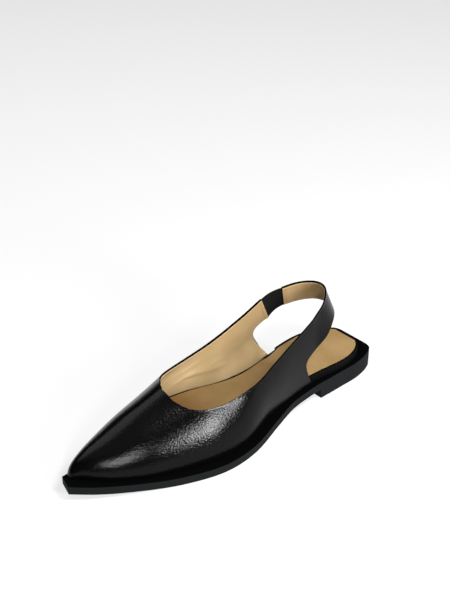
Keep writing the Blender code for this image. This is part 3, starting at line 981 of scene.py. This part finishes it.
def makeGore(tab, end, tabNormal, endNormal):
    run = float(np.linalg.norm(end.mean(axis=0) - tab.mean(axis=0)))
    along = np.linspace(-gore["tuck"] / run, 1 + gore["tuck"] / run, gore["steps"] + 1)
    width = float(np.linalg.norm(tab[-1] - tab[0]))
    shares = np.linspace(gore["margin"] / width, 1 - gore["margin"] / width, gore["columns"])
    first = pointsAt(tab, shares * runAlong(tab)[-1])
    last = pointsAt(end, shares * runAlong(end)[-1])
    ribs = gore["ribHeight"] * np.cos(np.linspace(0, 2 * math.pi * gore["ribs"], gore["columns"]))
    chord = last.mean(axis=0) - first.mean(axis=0)
    bow = np.array((-chord[1], chord[0], 0.0)) / math.hypot(chord[0], chord[1]) * gore["bow"]
    if bow[1] > 0:
        bow = -bow
    rows = []
    for t in along:
        normal = tabNormal + (endNormal - tabNormal) * t
        normal = normal / np.linalg.norm(normal)
        row = first + (last - first) * t + bow * 4 * t * (1 - t)
        rows.append(row - normal * (gore["inset"] - ribs)[:, None])
    bm = sheetMesh(np.array(rows)[::-1])
    piece = addPiece(bm, "gore", wovenElastic, ["elastic_gore"])
    addWall(piece, gore["thickness"], gore["edge"], 2)


outward = sheetNormals(sheet)
makeGore(sheet[0], sheet[-1], outward[0].mean(axis=0), outward[-1].mean(axis=0))
print("gore made")

# Rows of stitches
stitch = {
    "length": 0.0021,
    "gapShare": 0.25,       # of the length, between one stitch and the next
    "radius": 0.00028,
    "sunk": 0.4,            # share of the radius that lies in the leather
    "inset": 0.0015,        # from the rib's ends
    "places": 30,
    "ribs": (("tab", 2), ("strap", -3)),
}


def stitchRow(name, line, normals, material):
    # Small flattened beads of thread laid end to end along a line on the leather
    run = runAlong(line)
    pitch = stitch["length"] * (1 + stitch["gapShare"])
    count = max(int(run[-1] / pitch), 1)
    bm = bmesh.new()
    for k in range(count):
        at = (k + 0.5) / count * run[-1]
        place, ahead, behind = [Vector(p) for p in pointsAt(line, (at, at + 1e-4, at - 1e-4))]
        normal = Vector([np.interp(at, run, normals[:, axis]) for axis in range(3)]).normalized()
        along = (ahead - behind).normalized()
        made = bmesh.ops.create_uvsphere(bm, u_segments=10, v_segments=8, radius=1.0)["verts"]
        bmesh.ops.scale(bm, verts=made, vec=(stitch["radius"], stitch["radius"], stitch["length"] / 2))
        turn = along.to_track_quat("Z", "Y").to_matrix()
        bmesh.ops.rotate(bm, verts=made, cent=(0, 0, 0), matrix=turn)
        lift = normal * stitch["radius"] * (1 - 2 * stitch["sunk"])
        bmesh.ops.translate(bm, verts=made, vec=place + lift)
    addPiece(bm, name, material)


def lineAcross(row, inward):
    # A line along one rib, a little way in from each end, at this depth in the wall
    rib = sheet[row] - outward[row] * inward
    stop = runAlong(rib)[-1] - stitch["inset"]
    return pointsAt(rib, np.linspace(stitch["inset"], stop, stitch["places"]))


for name, row in stitch["ribs"]:
    facing = outward[row].mean(axis=0)[None, :].repeat(stitch["places"], axis=0)
    inside = lineAcross(row, footbed["wall"])
    outside = lineAcross(row, 0.0)
    stitchRow(name + "_stitches_inside", inside, -facing, tanThread)
    stitchRow(name + "_stitches_outside", outside, facing, blackThread)
print("stitches made")

# Plain pale floor and soft studio light
studio = {
    "floorSize": 6.0,
    "floorColour": "#8E8E8E",
    "floorGlow": 0.60,
    "worldStrength": 0.04,
    # Softboxes: bearing from the toe's direction, height angle, distance, width, height, lean and power
    "softboxes": (
        (59.0, 26.0, 1.20, 0.13, 0.40, -32.0, 8.0),
        (96.5, 19.0, 1.00, 0.20, 0.36, 22.0, 13.0),
        (-75.0, 55.0, 1.50, 1.50, 1.10, 0.0, 9.0),
        (90.0, 86.0, 1.60, 2.60, 2.20, 0.0, 5.0),
        (118.0, 58.0, 1.40, 0.50, 0.50, 0.0, 20.0),
    ),
    "lit": (0.03, 0.0, 0.03),       # the place that they all face
}


def makeStudio():
    bm = bmesh.new()
    bmesh.ops.create_grid(bm, x_segments=1, y_segments=1, size=studio["floorSize"] / 2)
    mesh = bpy.data.meshes.new("floor")
    bm.to_mesh(mesh)
    bm.free()
    floor = bpy.data.objects.new("floor", mesh)
    material, tree, shader = newMaterial("pale matt floor", {
        "Base Color": colour(studio["floorColour"]),
        "Roughness": 0.9,
        "Specular IOR Level": 0.1,
        "Emission Color": (1.0, 1.0, 1.0, 1.0),
        "Emission Strength": studio["floorGlow"],
    })
    mesh.materials.append(material)
    bpy.context.scene.collection.objects.link(floor)
    world = bpy.data.worlds.new("studio")
    bpy.context.scene.world = world
    world.use_nodes = True
    background = world.node_tree.nodes["Background"]
    background.inputs["Color"].default_value = (1.0, 1.0, 1.0, 1.0)
    background.inputs["Strength"].default_value = studio["worldStrength"]
    target = Vector(studio["lit"])
    for number, (bearing, rise, distance, width, height, lean, power) in enumerate(studio["softboxes"]):
        bearing = math.radians(bearing)
        rise = math.radians(rise)
        level = math.cos(rise)
        away = Vector((math.cos(bearing) * level, math.sin(bearing) * level, math.sin(rise)))
        light = bpy.data.lights.new("softbox %d" % number, "AREA")
        light.shape = "ELLIPSE"
        light.size = width
        light.size_y = height
        light.energy = power
        box = bpy.data.objects.new("softbox %d" % number, light)
        box.location = target + away * distance
        facing = (-away).to_track_quat("-Z", "Y") @ Quaternion((0.0, 0.0, 1.0), math.radians(lean))
        box.rotation_euler = facing.to_euler()
        bpy.context.scene.collection.objects.link(box)
    bpy.context.scene.view_settings.view_transform = "Standard"


# The photograph's view: turned from the toe towards the lateral side, and looking down
view = {
    "turnDeg": 41.33,
    "downDeg": 31.07,
    "distance": 0.8284,
    "aim": (-0.02527, -0.03029, 0.08270),
    "lens": 66.4,
    "sensor": 36.0,
}


def makeCamera():
    turn = math.radians(view["turnDeg"])
    down = math.radians(view["downDeg"])
    back = Vector((math.sin(turn) * math.cos(down), math.cos(turn) * math.cos(down), math.sin(down)))
    data = bpy.data.cameras.new("camera")
    data.lens = view["lens"]
    data.sensor_width = view["sensor"]
    data.clip_start = 0.01
    camera = bpy.data.objects.new("camera", data)
    camera.location = Vector(view["aim"]) + back * view["distance"]
    camera.rotation_euler = (-back).to_track_quat("-Z", "Y").to_euler()
    bpy.context.scene.collection.objects.link(camera)
    bpy.context.scene.camera = camera


makeStudio()
makeCamera()
print("floor, light and camera made")
